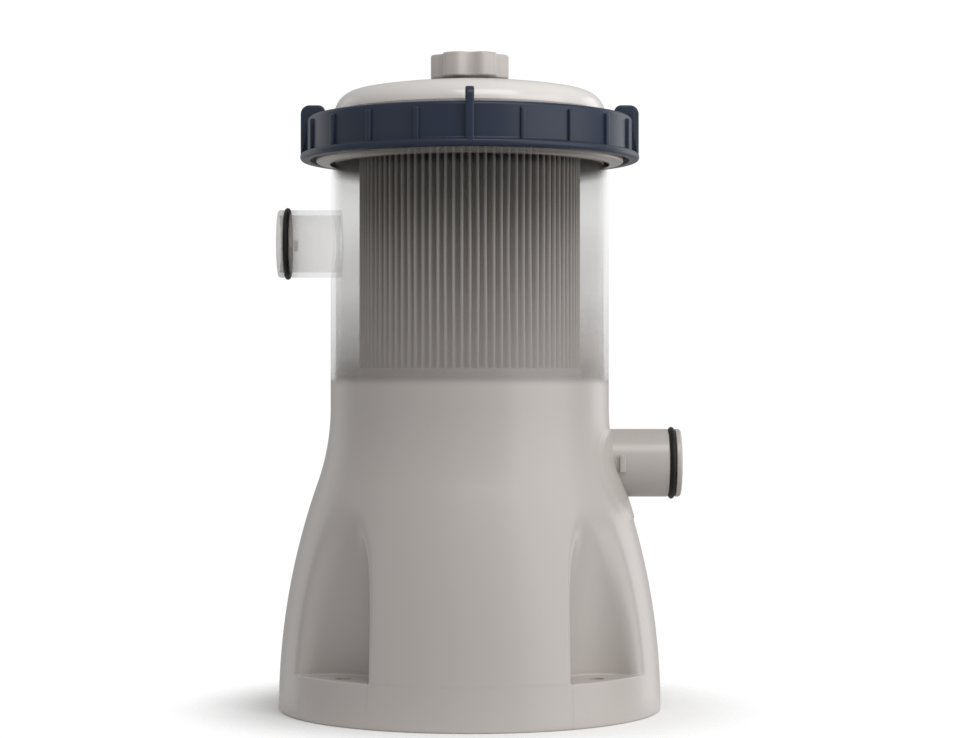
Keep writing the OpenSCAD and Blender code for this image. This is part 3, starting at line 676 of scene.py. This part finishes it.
def housing_rows():
    """Every row of the housing as (angles, radii, heights), going up outside and down inside."""
    edge_r, flange_r, neck_r, flange_low, flange_top = 1.0, 72.4, 69, 257, 259.3
    rows = []

    def add(angles, radius, z):
        rows.append((angles, radius, np.full_like(angles, z) if np.isscalar(z) else z))

    def ring(radius, z):
        angles = housing_angles(z)
        add(angles, np.full_like(angles, float(radius)), z)

    ring(BASE_R - WALL, 0)
    ring(BASE_R - edge_r, 0)
    for r, z in arc((BASE_R - edge_r, edge_r), edge_r, -75, 0, 6):
        ring(r - (BASE_R - float(skirt_radius(z))), z)
    for z in np.linspace(2.4, LEDGE_Z - 1.6, 12):
        add(*outer_row(z), z)
    rim = float(skirt_radius(LEDGE_Z))
    angles, wall = outer_row(LEDGE_Z + 0.01)
    depth = np.clip(rim - wall, 0, None)
    spread = 0.5 * (1 - smooth_step(depth, 0.2, 2.5))
    fillet = np.minimum(0.7, 0.35 * depth)
    steps = []
    for a in np.linspace(0, math.pi / 2, 6):
        steps.append((rim - fillet + fillet * math.cos(a), LEDGE_Z - fillet + fillet * math.sin(a)))
    for s in np.linspace(0, 1, 21)[1:-1]:
        steps.append((rim - fillet - (rim - fillet - wall - fillet) * s, np.full_like(angles, LEDGE_Z)))
    for a in np.linspace(0, math.pi / 2, 7):
        steps.append((wall + fillet - fillet * math.sin(a), LEDGE_Z + fillet - fillet * math.cos(a)))
    for i, (radius, z) in enumerate(steps):
        add(angles, radius, z + spread * (2 * i / (len(steps) - 1) - 1))
    for low, high, count in ((LEDGE_Z + 1.6, 106, 92), (106.9, 150, 46)):
        for z in np.linspace(low, high, count):
            add(*outer_row(z), z)
    for low, high, count in ((152, 202, 18), (203.5, 237, 26), (240, 252, 5)):
        for z in np.linspace(low, high, count):
            ring(CANISTER_R, z)
    neck = [(CANISTER_R, 253.2), (CANISTER_R, flange_low - 0.2), (flange_r, flange_low), (flange_r, flange_top),
            (neck_r, flange_top), (neck_r, NECK_TOP), (INNER_R, NECK_TOP), (INNER_R, 262)]
    radii = [0, 2.2, 0.7, 0.5, 0.5, 0.7, 0.7, 0]
    for r, z in rounded(neck, radii, 6):
        ring(r, z)
    for high, low, count in ((258, 240, 6), (237, 203, 24), (200, FLOOR_Z + 2.5, 14)):
        for z in np.linspace(high, low, count):
            ring(INNER_R, z)
    for r, z in arc((INNER_R - 2, FLOOR_Z + 2), 2, 0, -90, 6):
        ring(r, z)
    for r in np.linspace(58, CHAMBER_R, 8):
        ring(r, FLOOR_Z)
    for r in np.linspace(CHAMBER_R, INNER_R - 1, 8):
        ring(r, FLOOR_Z - FLOOR_T)
    under = LEDGE_Z - WALL
    for z in np.linspace(FLOOR_Z - FLOOR_T - 1, under + 0.3, 74):
        angles, radius = outer_row(z, ledge=under)
        add(angles, radius - WALL, z)
    for z in np.linspace(under - 0.3, 2.0, 8):
        angles, radius = outer_row(z)
        add(angles, radius - WALL, z)
    return rows


def cut_hole(verts, faces, flat, centre, radius, near):
    """Drops the faces round centre. Gives the faces left and a mask of the points on the rim.

    flat picks the two coordinates of the hole's plane, and near masks the points that may be cut.
    """
    reach = np.linalg.norm(flat(verts) - np.array(centre, float), axis=1)
    inside = near & (reach < radius)
    hit = inside[faces].any(axis=1)
    rim = np.zeros(len(verts), bool)
    rim[np.unique(faces[hit])] = True
    return faces[~hit], rim & ~inside


def build_housing():
    """One mesh: the wall with its holes, then the bolt bosses, thread, gland boss and screw bosses."""
    rows = housing_rows()
    count = len(rows[0][0])
    angles = np.stack([row[0] for row in rows])
    radius = np.stack([row[1] for row in rows])
    z = np.stack([row[2] for row in rows])
    verts = np.stack([radius * np.cos(angles), radius * np.sin(angles), z], -1).reshape(-1, 3)
    index = np.arange(len(rows) * count).reshape(len(rows), count)
    ahead, above = np.roll(index, -1, 1), np.roll(index, -1, 0)
    faces = np.stack([index, ahead, np.roll(ahead, -1, 0), above], -1).reshape(-1, 4)
    wall_only = radius.reshape(-1) > CHAMBER_R + 10

    for side, centre_z in ((-1, INLET_Z), (1, OUTLET_Z)):
        near = (verts[:, 0] * side > 40) & wall_only
        faces, rim = cut_hole(verts, faces, lambda v: v[:, 1:3], (0, centre_z), PORT_HOLE_R, near)
        y, dz = verts[rim, 1], verts[rim, 2] - centre_z
        grow = (PORT_HOLE_R + 0.2) / np.hypot(y, dz)
        radial = np.hypot(verts[rim, 0], y) - skirt_radius(verts[rim, 2])
        new_y, new_z = y * grow, centre_z + dz * grow
        new_r = skirt_radius(new_z) + radial
        verts[rim] = np.stack([side * np.sqrt(new_r**2 - new_y**2), new_y, new_z], -1)
    for a in QUARTERS:
        centre = (BOLT_R * math.cos(a), BOLT_R * math.sin(a))
        near = (verts[:, 2] > LEDGE_Z - 0.1) & (verts[:, 2] < LEDGE_Z + 0.1)
        faces, rim = cut_hole(verts, faces, lambda v: v[:, 0:2], centre, BOLT_HOLE_R, near)
        offset = verts[rim, 0:2] - centre
        offset *= BOLT_HOLE_R / np.linalg.norm(offset, axis=1, keepdims=True)
        verts[rim, 0:2] = centre + offset

    parts = [(verts, [tuple(f) for f in faces.tolist()])]
    for a in QUARTERS:
        origin = (BOLT_R * math.cos(a), BOLT_R * math.sin(a), 0)
        profile = rounded([(BOLT_HOLE_R, 0), (BOSS_R, 0), (BOSS_R, LEDGE_Z - 1.2), (BOLT_HOLE_R, LEDGE_Z)],
                          [0.4, 0.4, 0, 0], 4)
        parts.append(revolve(profile, 48, origin=origin))
    for k in range(THREAD_STARTS):
        parts.append(thread_segment(68.6, 72.6, THREAD_HEIGHT, THREAD_SPAN, THREAD_LEAD, 266.6,
                                    360 / THREAD_STARTS * k))
    gland_boss = rounded([(6.1, 84), (11, 84), (11, 90), (6.1, 90)], [0, 0.4, 0.8, 0.3], 5)
    parts.append(revolve(gland_boss, 64, axis="y", origin=(0, 0, 30)))
    screw_circle_r, screw_boss = 82.5, [(1.6, 2.5), (5.5, 2.5), (5.5, 20.5), (1.6, 20.5)]
    for k in range(4):
        a = math.radians(20 + 90 * k)
        parts.append(revolve(screw_boss, 32, origin=(screw_circle_r * math.cos(a), screw_circle_r * math.sin(a), 0)))
    all_verts, all_faces = merge(parts)
    new_piece("housing", all_verts, all_faces, "housing", ("canister", "skirt", "bolt_pockets"),
              "housing_plastic", MATERIALS["housing_plastic"], 50)


# ---------------------------------------------------------------- ports

def spigot_parts(low_x, high_x, ring_x, lug_x, lug_w, lug_len, axis, z, relief=None):
    """Hose spigot with its O-ring groove, rounded tip and two bayonet lugs.

    relief is the (radius, end) of a wider stretch of bore at the inner end.
    """
    groove_r, half_groove = PORT_R - 1.8, 1.7
    groove_low, groove_high = ring_x - half_groove, ring_x + half_groove
    inner_r, inner_x = relief or (BORE_R, low_x + 5)
    outline = [(BORE_R, inner_x), (inner_r, inner_x), (inner_r, low_x), (PORT_R, low_x), (PORT_R, groove_low),
               (groove_r, groove_low), (groove_r, groove_high), (PORT_R, groove_high), (PORT_R, high_x),
               (BORE_R, high_x)]
    profile = rounded(outline, [0, 0, 0.3, 0.3, 0.35, 0.3, 0.3, 0.35, 1.7, 0.9], 6)
    dense = []
    for i, (r, x) in enumerate(profile):
        dense.append((r, x))
        r2, x2 = profile[(i + 1) % len(profile)]
        steps = int(abs(x2 - x) // 6)
        dense += [(r + (r2 - r) * k / steps, x + (x2 - x) * k / steps) for k in range(1, steps)]
    sign = -1 if axis == "-x" else 1
    parts = [revolve(dense, 128, axis=axis, origin=(0, 0, z))]
    for side in (-1, 1):
        outline = rounded([(lug_x, -lug_len / 2), (lug_x + lug_w, -lug_len / 2),
                           (lug_x + lug_w, lug_len / 2), (lug_x, lug_len / 2)], 0.5, 4)
        parts.append(prism(outline, PORT_R - 0.6, PORT_R + 1.7,
                           lambda u, v, w: (sign * u, side * w, z + v), 0.35))
    return parts


def build_ports():
    inlet_ring = -(INLET_RING_LOW[0] + INLET_RING_HIGH[0]) / 2
    outlet_ring = (OUTLET_RING_LOW[0] + OUTLET_RING_HIGH[0]) / 2
    parts = spigot_parts(-INLET_HIGH[0], -INLET_LOW[0], inlet_ring, 82.4, 1.8, 5.2, "-x", INLET_Z)
    new_piece("inlet_spigot", *merge(parts), "housing", "inlet_spigot", "housing_plastic",
              MATERIALS["inlet_plastic"])
    parts = spigot_parts(OUTLET_LOW[0], OUTLET_HIGH[0], outlet_ring, 70, 2.7, 8, "x", OUTLET_Z,
                         relief=(BORE_R + 0.5, 52.0))
    new_piece("outlet_spigot", *merge(parts), "housing", "outlet_spigot", "housing_plastic",
              MATERIALS["outlet_plastic"])
    for name, low, high in (("inlet_o_ring", INLET_RING_LOW, INLET_RING_HIGH),
                            ("outlet_o_ring", OUTLET_RING_LOW, OUTLET_RING_HIGH)):
        middle, section = (low + high) / 2, (high[0] - low[0]) / 2
        outer = (high[2] - low[2]) / 2
        profile = [(outer - section + section * math.cos(a), section * math.sin(a))
                   for a in np.linspace(0, 2 * math.pi, 28, endpoint=False)]
        with_flash = [(r + 0.06 * math.exp(-((x / 0.12) ** 2)), x) for r, x in profile]
        verts, faces = revolve(with_flash, 144, axis="x", origin=(middle[0], 0, middle[2]))
        new_piece(name, verts, faces, "housing", name, "rubber", MATERIALS["rubber"])


# ---------------------------------------------------------------- lid, collar, knob

LID_R = 64.0
LID_EDGE = 11.0
LID_CROWN = 320.0
LID_TOP = 295.0
CROWN_CZ = LID_TOP - LID_CROWN
EDGE_CR = LID_R - LID_EDGE
EDGE_CZ = CROWN_CZ + math.sqrt((LID_CROWN - LID_EDGE) ** 2 - EDGE_CR**2)
CROWN_END = math.degrees(math.atan2(EDGE_CZ - CROWN_CZ, EDGE_CR))


def crown_z(r):
    return CROWN_CZ + math.sqrt(LID_CROWN**2 - r**2)


def build_lid():
    """Domed lid with its seal flange and skirt, and the threaded stub that the knob turns on."""
    vent_r, stub_r = 2.5, 8.0
    stub_top = LID_HIGH[2]
    flange_r, skirt_r, skirt_in = 70.5, 62.7, 60.7
    flange_z = NECK_TOP + 2
    stub_foot = 9.6
    crown_start = math.degrees(math.acos(stub_foot / LID_CROWN))
    outside = rounded([(vent_r, stub_top), (stub_r, stub_top), (stub_r, crown_z(stub_r))], [0.3, 0.6, 0], 5)
    outside = outside[:-1] + [(stub_r, crown_z(stub_r) + 1.2), (stub_r + 0.4, crown_z(stub_r) + 0.3)]
    outside += arc((0, CROWN_CZ), LID_CROWN, crown_start, CROWN_END, 36)
    outside += arc((EDGE_CR, EDGE_CZ), LID_EDGE, CROWN_END, 0, 22)[1:]
    flange = rounded([(LID_R, flange_z + 8), (LID_R, flange_z + 3.2), (flange_r, flange_z + 3.2),
                      (flange_r, flange_z), (skirt_r, flange_z), (skirt_r, LID_LOW[2]), (skirt_in, LID_LOW[2]),
                      (skirt_in, flange_z + 3)], [0, 0.8, 0.5, 0.5, 0.5, 0.5, 0.5, 0], 5)
    inside = arc((EDGE_CR, EDGE_CZ), LID_EDGE - WALL, 0, CROWN_END, 14)
    inside += arc((0, CROWN_CZ), LID_CROWN - WALL, CROWN_END, 89.4, 20)[1:]
    profile = outside + flange + inside
    parts = [revolve(profile, 256), thread_segment(stub_r - 0.2, 9, 1.0, VENT_SPAN, VENT_LEAD, 301.4, 0)]
    new_piece("lid", *merge(parts), "lid", "lid", "lid_plastic", MATERIALS["lid_plastic"], 60)


def build_collar():
    """Threaded ring with four tall grip tabs and sixteen low ribs."""
    base, top = COLLAR_LOW[2], 278.2
    wall_r, in_r, out_r = 76.6, 73.6, COLLAR_HIGH[0]
    ring = [(75.2, base), (out_r, base), (out_r, base + 3.4), (wall_r, base + 3.4), (wall_r, top),
            (64.5, top), (64.5, top - 2.5), (in_r, top - 2.5), (in_r, base + 3.2), (75.2, base + 1.6)]
    profile = rounded(ring, [0.6, 1.5, 1.4, 1.2, 1.8, 0.9, 0.4, 0.6, 0, 0], 7)
    parts = [revolve(profile, 240)]
    for k in range(20):
        if k % 5 == 0:
            half, tab_in, tab_top = 2.0, 68.3, COLLAR_HIGH[2]
            outline = rounded([(wall_r - 1.5, base + 1), (out_r - 0.1, base + 1), (out_r - 0.1, tab_top),
                               (tab_in, tab_top), (tab_in, top - 0.8), (wall_r - 1.5, top - 0.8)],
                              [0, 0.5, 4.2, 6.4, 0, 0], 11)
            bevel = 0.8
        else:
            half, bevel = 1.35, 0.6
            outline = rounded([(wall_r - 1, base + 1.5), (78.0, base + 1.5), (78.0, 275.8),
                               (wall_r - 1, 275.8)], [0, 0.4, 1.2, 0], 7)
        verts, faces = prism(outline, -half, half, lambda u, v, w: (u, w, v), bevel)
        parts.append((turned(verts, 18 * k), faces))
    for k in range(THREAD_STARTS):
        parts.append(thread_segment(in_r + 0.3, 71.2, THREAD_HEIGHT, THREAD_SPAN, THREAD_LEAD, 263.6,
                                    360 / THREAD_STARTS * k))
    new_piece("locking_collar", *merge(parts), "collar", "locking_collar", "collar_plastic",
              MATERIALS["collar_plastic"], 45)


def build_knob():
    """Six-lobed knob: a lobed outline that follows a rounded profile, hollow underneath."""
    low, high, lobe_r = KNOB_LOW[2], KNOB_HIGH[2], KNOB_HIGH[0]
    count = 288
    angles = np.linspace(0, 2 * math.pi, count, endpoint=False)
    valley_c, valley_r = lobe_r + 1.6, 4.6
    off = angles % (math.pi / 3) - math.pi / 6

    def distance(r):
        to_valley = np.sqrt((r * np.cos(off) - valley_c) ** 2 + (r * np.sin(off)) ** 2) - valley_r
        return soft_max(r - lobe_r, -to_valley, 3.2)

    reach = surface_radius(distance, np.full(count, 8.0), np.full(count, lobe_r + 2), 30)
    roof, cavity, low_round, top_round, crown = 305.1, 10.2, 0.6, 0.9, 0.3
    rows = [(np.full(count, cavity), low)]
    for a in np.radians(np.linspace(-90, 0, 5)):
        rows.append((reach - low_round + low_round * math.cos(a), low + low_round + low_round * math.sin(a)))
    rows.append((reach, (low + high) / 2))
    for a in np.radians(np.linspace(0, 90, 9)):
        rows.append((reach - top_round * (1 - math.cos(a)), high - crown - top_round + top_round * math.sin(a)))
    for s in np.linspace(0.9, 0.06, 9):
        rows.append(((reach - top_round) * s + 0.4 * (1 - s), high - crown + crown * (1 - s**2)))
    top_ring = len(rows) - 1
    rows += [(np.full(count, radius), z) for radius, z in ((cavity, roof), (2.0, roof), (2.0, 303.3))]
    under_ring = len(rows) - 1
    verts, faces = [], []
    for radius, z in rows:
        verts += [(radius[k] * math.cos(angles[k]), radius[k] * math.sin(angles[k]), z) for k in range(count)]
    chain = [*range(top_ring, -1, -1), *range(top_ring + 1, under_ring + 1)]
    for i, j in zip(chain[:-1], chain[1:]):
        faces += ring_quads(i, j, count)
    faces += [ring_cap(top_ring, count), ring_cap(under_ring, count, flip=True)]
    parts = [(np.array(verts), faces), thread_segment(10.4, 8.5, 0.9, VENT_SPAN, VENT_LEAD, 299.9, 0)]
    new_piece("vent_knob", *merge(parts), "knob", "vent_knob", "knob_plastic", MATERIALS["knob_plastic"], 60)


# ---------------------------------------------------------------- cartridge

def build_media():
    """Folded cloth: rounded ridges and valleys, each pleat a little out of line with its neighbours."""
    pleats, levels, cloth = 88, 22, 0.55
    ridge_r, valley_r = MEDIA_HIGH[0], 31.6
    rng = np.random.default_rng(7)
    phase, reach_drift = rng.normal(0, 1, (3, pleats)), rng.normal(0, 0.16, pleats)
    pitch = 2 * math.pi / pleats
    ridge = [(-0.20, -1.9), (-0.17, -0.55), (-0.10, -0.12), (0, 0), (0.10, -0.12), (0.17, -0.55), (0.20, -1.9)]
    valley = [(0.36, 1.8), (0.42, 0.5), (0.5, 0.0), (0.58, 0.5), (0.64, 1.8)]
    base = [(u, ridge_r + d) for u, d in ridge] + [(u, valley_r + d) for u, d in valley]
    verts, faces = [], []
    ring = pleats * len(base)
    for level in range(levels):
        t = level / (levels - 1)
        z = MEDIA_LOW[2] + (MEDIA_HIGH[2] - MEDIA_LOW[2]) * t
        bow = math.sin(math.pi * t)
        for shell in (0, 1):
            for p in range(pleats):
                sway = 0.045 * bow * (phase[0][p] * math.sin(5.1 * t + phase[1][p]) + 0.7 * phase[2][p])
                for u, r in base:
                    outside = smooth_step(r, valley_r, ridge_r)
                    radius = min(ridge_r, r + float(outside) * min(0.0, reach_drift[p]) * bow)
                    radius -= shell * cloth * (1.6 if r > ridge_r - 1 else 0.9)
                    angle = (p + u + float(outside) * sway) * pitch
                    pinch = shell * cloth / max(radius, 1) * (0.75 if 0.12 < abs(u) < 0.3 else 0)
                    angle += -math.copysign(pinch, u) if u != 0 else 0
                    verts.append((radius * math.cos(angle), radius * math.sin(angle), z))

    def at(level, shell, k):
        return level * 2 * ring + shell * ring + k % ring

    top = levels - 1
    for level in range(top):
        for k in range(ring):
            faces.append((at(level, 0, k), at(level, 0, k + 1), at(level + 1, 0, k + 1), at(level + 1, 0, k)))
            faces.append((at(level, 1, k + 1), at(level, 1, k), at(level + 1, 1, k), at(level + 1, 1, k + 1)))
    for k in range(ring):
        faces.append((at(0, 1, k), at(0, 1, k + 1), at(0, 0, k + 1), at(0, 0, k)))
        faces.append((at(top, 0, k), at(top, 0, k + 1), at(top, 1, k + 1), at(top, 1, k)))
    new_piece("filter_media", verts, faces, "cartridge", "filter_media", "filter_fabric",
              MATERIALS["filter_fabric"], 70)


def build_caps():
    """Soft end caps with a rounded rim and a shallow moulded ring."""
    core_r, rim_z, well_z, lip = 27.5, 6, 4.5, 0.6
    for name, low, high, up in (("cartridge_bottom_cap", CAP_LOW, CAP_HIGH, 1),
                                ("cartridge_top_cap", TOP_CAP_LOW, TOP_CAP_HIGH, -1)):
        out = high[0]
        outer_z = low[2] if up > 0 else high[2]
        outline = [(core_r, 0), (34, 0), (34.8, 0.6), (46, 0.6), (46.8, 0), (out, 0), (out, rim_z), (out - lip, rim_z),
                   (out - lip, well_z), (core_r + 2.7, well_z), (core_r + 2.7, 3.5), (core_r, 3.5)]
        profile = rounded(outline, [0.6, 0.3, 0.3, 0.3, 0.3, 1.2, 0.2, 0.2, 0, 0.2, 0.2, 0.3], 5)
        profile = [(r, outer_z + up * z) for r, z in profile]
        verts, faces = revolve(profile, 192)
        new_piece(name, verts, faces, "cartridge", name, "cap_plastic", MATERIALS["cap_plastic"])


# ---------------------------------------------------------------- everything that keeps its CAD shape

def finish_cad_nodes():
    """CAD nodes that stay get their record slot's material and shading by angle."""
    slots = {row["node"]: row["material_slot"] for row in frame["record"]["subparts"]}
    for node, piece in frame["nodes"].items():
        piece.data.materials.clear()
        piece.data.materials.append(MATERIALS[slots[node]])
        piece.data.polygons.foreach_set("use_smooth", [True] * len(piece.data.polygons))
        mark_sharp(piece.data, 30)


# ---------------------------------------------------------------- stage, light and camera

def area_light(name, place, target_z, size, power):
    """A white area light that points at a height on the pump's axis."""
    data = bpy.data.lights.new(name, "AREA")
    data.shape = "RECTANGLE"
    data.size, data.size_y = size
    data.energy = power
    light = add_object(name, data)
    light.location = place
    light.rotation_euler = (Vector((0, 0, target_z)) - Vector(place)).to_track_quat("-Z", "Y").to_euler()


def build_stage():
    """A pale floor that fades into the white backdrop, a white world, and the lights.

    The main light is a soft one from the front right.
    """
    material, tree, surface, coords = shader("studio_floor")
    tree.links.new(mix_colour(tree, noise_node(tree, coords, 3), (0.90, 0.90, 0.90), (0.94, 0.94, 0.94)),
                   surface.inputs["Base Color"])
    surface.inputs["Roughness"].default_value = 0.9
    fade = map_range(tree, length_of(tree, coords), 0.088, 0.15, 1, 0, smooth=True)
    tree.links.new(fade, surface.inputs["Alpha"])
    mesh = bpy.data.meshes.new("floor")
    half = 0.5
    mesh.from_pydata([(-half, -half, 0), (half, -half, 0), (half, half, 0), (-half, half, 0)], [], [(0, 1, 2, 3)])
    mesh.materials.append(material)
    floor = add_object("floor", mesh)

    world = bpy.data.worlds.new("studio")
    world.use_nodes = True
    tree = world.node_tree
    background = tree.nodes["Background"]
    path = tree.nodes.new("ShaderNodeLightPath")
    tree.links.new(map_range(tree, path.outputs["Is Camera Ray"], 0, 1, 0.48, 1.02),
                   background.inputs["Strength"])
    background.inputs["Color"].default_value = (1, 1, 1, 1)
    bpy.context.scene.world = world

    area_light("key", (1.3, -0.75, 0.52), 0.15, (1.6, 1.6), 14)
    area_light("fill", (-1.3, -0.9, 0.45), 0.15, (0.9, 1.2), 0.7)
    area_light("top", (0.25, -0.75, 1.15), 0.12, (0.9, 0.5), 6)
    area_light("rim_left", (-1.0, 0.85, 0.30), 0.15, (0.6, 1.2), 1.2)
    area_light("rim_right", (1.0, 0.85, 0.30), 0.15, (0.6, 1.2), 3.2)


def build_camera():
    """The photographed view: level, straight on to the front, from 1.15 m away."""
    distance, eye_height, focal_share = 1.15, 0.1523, 2.483
    data = bpy.data.cameras.new("camera")
    data.sensor_width = 36.0
    data.lens = data.sensor_width * focal_share
    data.shift_x = 0.0202
    data.shift_y = 0.0163
    data.dof.use_dof = False
    camera = add_object("camera", data)
    camera.location = (0, -distance, eye_height)
    camera.rotation_euler = (math.radians(90), 0, 0)
    bpy.context.scene.camera = camera
    bpy.context.scene.view_settings.view_transform = "Standard"


build_camera()
finish_cad_nodes()
build_housing()
build_ports()
build_lid()
build_collar()
build_knob()
build_media()
build_caps()
build_stage()
